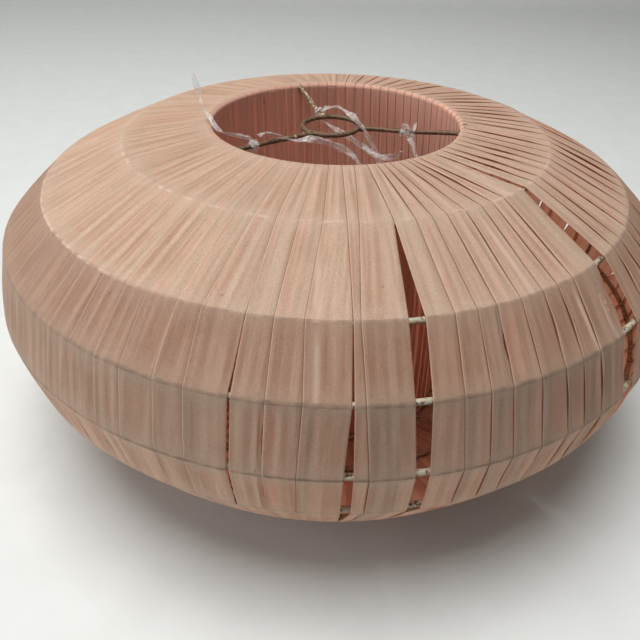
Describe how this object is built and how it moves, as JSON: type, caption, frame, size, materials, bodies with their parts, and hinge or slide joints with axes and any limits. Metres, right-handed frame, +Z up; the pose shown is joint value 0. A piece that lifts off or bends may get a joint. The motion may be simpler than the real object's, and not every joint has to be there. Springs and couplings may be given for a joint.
{
  "type": "pendant lampshade",
  "caption": "Wide drum-shaped pendant lampshade wound with beige-pink fabric ribbon over a welded wire frame, with a lampholder ring in the top opening.",
  "frame": {"origin": "centre of the base, on the plane that the shade stands on", "axes": "+Z up along the shade's axis, -Y towards the side with the widest gap between ribbon turns"},
  "size_m": [0.5323, 0.5322, 0.2784],
  "materials": {
    "ribbon": "matte woven ribbon",
    "cream_paint": "worn cream enamel, chipped",
    "rusty_wire": "brown oxidised",
    "clear_film": "clear crinkled film"
  },
  "bodies": {
    "root": {"bottom_hoop": "cream_paint", "film_knot_back": "clear_film", "film_knot_left": "clear_film", "film_knot_right": "clear_film", "film_tie_back_lower": "clear_film", "film_tie_back_upper": "clear_film", "film_tie_left_inner": "clear_film", "film_tie_left_outer": "clear_film", "film_tie_right_end": "clear_film", "girth_hoop": "cream_paint", "inner_winding_1": "ribbon", "inner_winding_2": "ribbon", "inner_winding_3": "ribbon", "inner_winding_4": "ribbon", "inner_winding_5": "ribbon", "inner_winding_6": "ribbon", "lampholder_ring": "rusty_wire", "lower_hoop_1": "cream_paint", "lower_hoop_2": "cream_paint", "lower_hoop_3": "cream_paint", "outer_winding_10_lower": "ribbon", "outer_winding_10_upper": "ribbon", "outer_winding_11_lower": "ribbon", "outer_winding_11_upper": "ribbon", "outer_winding_12_lower": "ribbon", "outer_winding_12_upper": "ribbon", "outer_winding_1_lower": "ribbon", "outer_winding_1_upper": "ribbon", "outer_winding_2_lower": "ribbon", "outer_winding_2_upper": "ribbon", "outer_winding_3_lower": "ribbon", "outer_winding_3_upper": "ribbon", "outer_winding_4_lower": "ribbon", "outer_winding_4_upper": "ribbon", "outer_winding_5_lower": "ribbon", "outer_winding_5_upper": "ribbon", "outer_winding_6_lower": "ribbon", "outer_winding_6_upper": "ribbon", "outer_winding_7_lower": "ribbon", "outer_winding_7_upper": "ribbon", "outer_winding_8_lower": "ribbon", "outer_winding_8_upper": "ribbon", "outer_winding_9_lower": "ribbon", "outer_winding_9_upper": "ribbon", "rib_1": "cream_paint", "rib_2": "cream_paint", "rib_3": "cream_paint", "rib_4": "cream_paint", "rib_5": "cream_paint", "rib_6": "cream_paint", "spider_arm_back": "rusty_wire", "spider_arm_left": "rusty_wire", "spider_arm_right": "rusty_wire", "top_hoop": "cream_paint", "upper_hoop_1": "cream_paint", "upper_hoop_2": "cream_paint", "upper_hoop_3": "cream_paint"}
  },
  "joints": []
}
